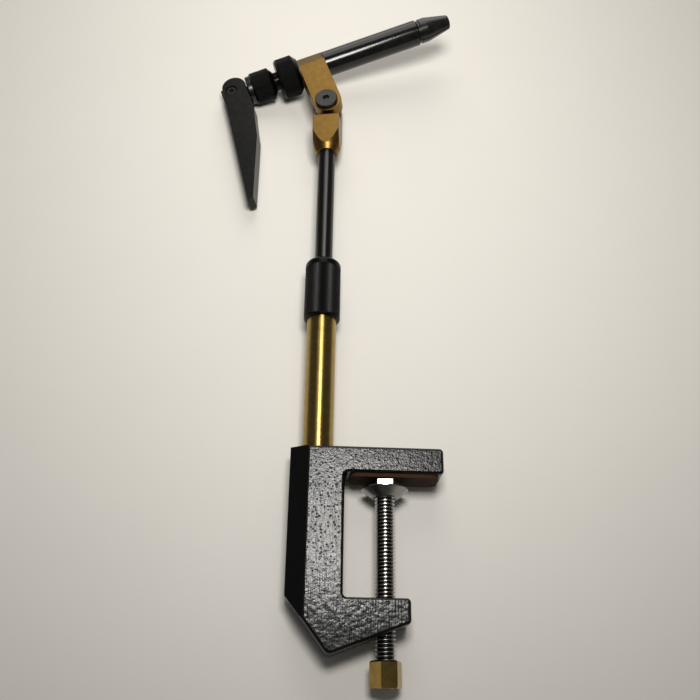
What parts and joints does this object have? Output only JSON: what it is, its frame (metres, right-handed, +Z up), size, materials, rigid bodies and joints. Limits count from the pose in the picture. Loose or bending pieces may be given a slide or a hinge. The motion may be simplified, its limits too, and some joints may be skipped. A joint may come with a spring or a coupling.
{
  "type": "fly tying vise",
  "caption": "Fly tying vise: C clamp with leather pad, brass post with telescoping stem, tilting brass head and rotating barrel whose split jaws close by a cam lever",
  "frame": {"origin": "on the leather pad's lower face, where the vise rests on a table, in line with the clamp screw", "axes": "+Z up the post, +X from the post to the open side of the clamp, -Y to the front that carries the screw heads"},
  "size_m": [0.1166, 0.0297, 0.3224],
  "materials": {
    "frame_black": "gloss black paint, textured on the front face",
    "pad_leather": "brown, smooth side out",
    "screw_steel": "plain steel",
    "bright_plate": "bright plated",
    "brass_bar": "machined brass",
    "brass_tube": "polished brass",
    "brass_satin": "satin brass",
    "knurl_black": "black oxide, diamond knurled",
    "stem_black": "polished black oxide",
    "jaw_black": "black oxide",
    "lever_grey": "dark grey oxide",
    "screw_dark": "dark oxide",
    "spring_steel": "drawn wire",
    "washer_nylon": "plain nylon"
  },
  "bodies": {
    "clamp": {"clamp_frame": "frame_black", "clamp_pad": "pad_leather", "post_tube": "brass_tube", "stem_collet": "brass_bar"},
    "foot": {"pressure_foot": "bright_plate"},
    "screw": {"clamp_screw": "screw_steel", "foot_nut": "bright_plate", "clamp_knob": "brass_bar"},
    "sleeve": {"lock_sleeve": "knurl_black"},
    "guide": {"stem_guide": "brass_bar"},
    "stem": {"stem_rod": "stem_black", "stem_guide_screw": "screw_steel", "knuckle": "brass_satin", "friction_washer": "washer_nylon", "pivot_screw": "screw_dark"},
    "head": {"head_block": "brass_satin"},
    "rotor": {"barrel": "stem_black", "return_spring": "spring_steel"},
    "ring": {"rotary_ring": "knurl_black", "rotary_washer": "washer_nylon"},
    "knob": {"adjust_knob": "knurl_black", "cam_collar": "stem_black"},
    "draw": {"draw_rod": "jaw_black"},
    "handle": {"lever": "lever_grey", "lever_screw": "screw_dark"},
    "front_jaw": {"jaw_front": "jaw_black"},
    "rear_jaw": {"jaw_rear": "jaw_black"}
  },
  "joints": [
    {"name": "foot_slide", "type": "slide", "parent": "clamp", "child": "foot", "axis": [0, 0, 1], "range_m": [-0.038, 0]},
    {"name": "screw_spin", "type": "hinge", "parent": "foot", "child": "screw", "pos_m": [0, 0, 0], "axis": [0, 0, 1], "range_deg": [-9694.5, 0]},
    {"name": "sleeve_turn", "type": "hinge", "parent": "clamp", "child": "sleeve", "pos_m": [-0.0274, 0, 0.0713], "axis": [0, 0, 1], "range_deg": [0, 360]},
    {"name": "stem_height", "type": "slide", "parent": "clamp", "child": "guide", "axis": [0, 0, 1], "range_m": [-0.04, 0.038]},
    {"name": "stem_swing", "type": "hinge", "parent": "guide", "child": "stem", "pos_m": [-0.0274, 0, 0.0121], "axis": [0, 0, 1], "continuous": true},
    {"name": "head_tilt", "type": "hinge", "parent": "stem", "child": "head", "pos_m": [-0.0274, 0, 0.1905], "axis": [-0.1805, -0.9836, 0], "range_deg": [-55, 20]},
    {"name": "barrel_turn", "type": "hinge", "parent": "head", "child": "rotor", "pos_m": [-0.03661, 0.00169, 0.2171], "axis": [0.9277, -0.1703, 0.3322], "continuous": true},
    {"name": "ring_turn", "type": "hinge", "parent": "head", "child": "ring", "pos_m": [-0.05312, 0.00472, 0.21119], "axis": [0.9277, -0.1703, 0.3322], "continuous": true},
    {"name": "knob_turn", "type": "hinge", "parent": "rotor", "child": "knob", "pos_m": [-0.0662, 0.00712, 0.20651], "axis": [0.9277, -0.1703, 0.3322], "range_deg": [-180, 180]},
    {"name": "draw_slide", "type": "slide", "parent": "rotor", "child": "draw", "axis": [0.9277, -0.1703, 0.3322], "range_m": [-0.0007309, 0], "deforming": ["return_spring"]},
    {"name": "lever_turn", "type": "hinge", "parent": "draw", "child": "handle", "pos_m": [-0.07608, 0.00893, 0.20297], "axis": [0.1805, 0.9836, 0], "range_deg": [0, 45]},
    {"name": "front_jaw_close", "type": "hinge", "parent": "draw", "child": "front_jaw", "pos_m": [0.002, -0.0054, 0.23092], "axis": [-0.3267, 0.06, 0.9432], "range_deg": [0, 0.4]},
    {"name": "rear_jaw_close", "type": "hinge", "parent": "draw", "child": "rear_jaw", "pos_m": [0.002, -0.0054, 0.23092], "axis": [-0.3267, 0.06, 0.9432], "range_deg": [-0.4, 0]}
  ],
  "couplings": [
    {"joint": "screw_spin", "follows": "foot_slide", "rad_per_m": 4452.7},
    {"joint": "lever_turn", "follows": "draw_slide", "rad_per_m": -1074.5},
    {"joint": "front_jaw_close", "follows": "draw_slide", "rad_per_m": -9.0258},
    {"joint": "rear_jaw_close", "follows": "draw_slide", "rad_per_m": 9.0258}
  ]
}
